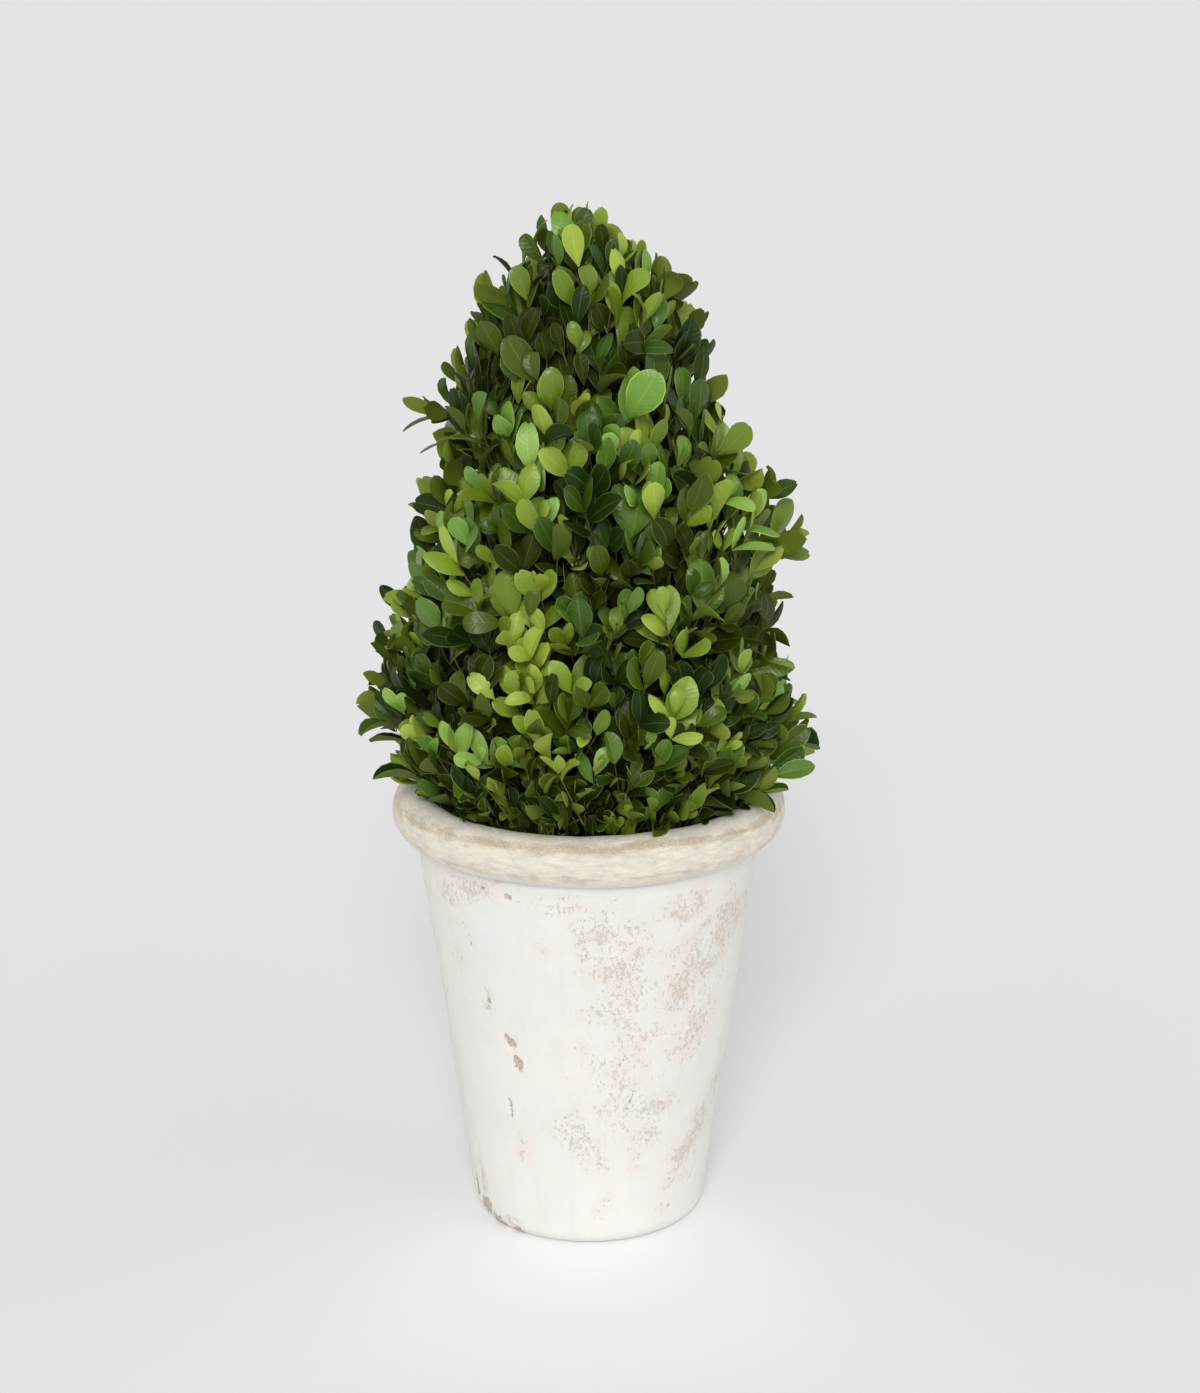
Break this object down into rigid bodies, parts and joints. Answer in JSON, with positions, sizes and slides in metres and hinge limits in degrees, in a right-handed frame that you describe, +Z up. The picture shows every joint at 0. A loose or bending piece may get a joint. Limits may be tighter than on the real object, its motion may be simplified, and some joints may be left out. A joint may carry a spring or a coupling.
{
  "type": "potted clipped boxwood cone",
  "caption": "Clipped boxwood shrub, a blunt leafy cone, growing in a tall tapered limewashed clay pot with a thick rolled rim.",
  "frame": {"origin": "centre of the flat underside of the pot, on the surface it stands on", "axes": "+Z up the pot's axis towards the tip of the crown, -Y towards the front, +X to the front's right"},
  "size_m": [0.1922, 0.1925, 0.458],
  "materials": {
    "limewashed_clay": "chalky limewash, worn through to tan clay in patches",
    "soil": "crumbly, matt",
    "bark": "finely fissured grey-brown bark",
    "leaves_skirt": "small waxy leaves",
    "leaves_middle": "small waxy leaves",
    "leaves_upper": "small waxy leaves"
  },
  "bodies": {
    "root": {"pot": "limewashed_clay", "soil": "soil", "stem": "bark", "bough_skirt_1": "bark", "foliage_skirt_1": "leaves_skirt", "bough_skirt_2": "bark", "foliage_skirt_2": "leaves_skirt", "bough_skirt_3": "bark", "foliage_skirt_3": "leaves_skirt", "bough_skirt_4": "bark", "foliage_skirt_4": "leaves_skirt", "bough_skirt_5": "bark", "foliage_skirt_5": "leaves_skirt", "bough_skirt_6": "bark", "foliage_skirt_6": "leaves_skirt", "bough_middle_1": "bark", "foliage_middle_1": "leaves_middle", "bough_middle_2": "bark", "foliage_middle_2": "leaves_middle", "bough_middle_3": "bark", "foliage_middle_3": "leaves_middle", "bough_middle_4": "bark", "foliage_middle_4": "leaves_middle", "bough_middle_5": "bark", "foliage_middle_5": "leaves_middle", "bough_upper_1": "bark", "foliage_upper_1": "leaves_upper", "bough_upper_2": "bark", "foliage_upper_2": "leaves_upper", "bough_upper_3": "bark", "foliage_upper_3": "leaves_upper", "bough_upper_4": "bark", "foliage_upper_4": "leaves_upper", "foliage_tip": "leaves_upper"}
  },
  "joints": []
}
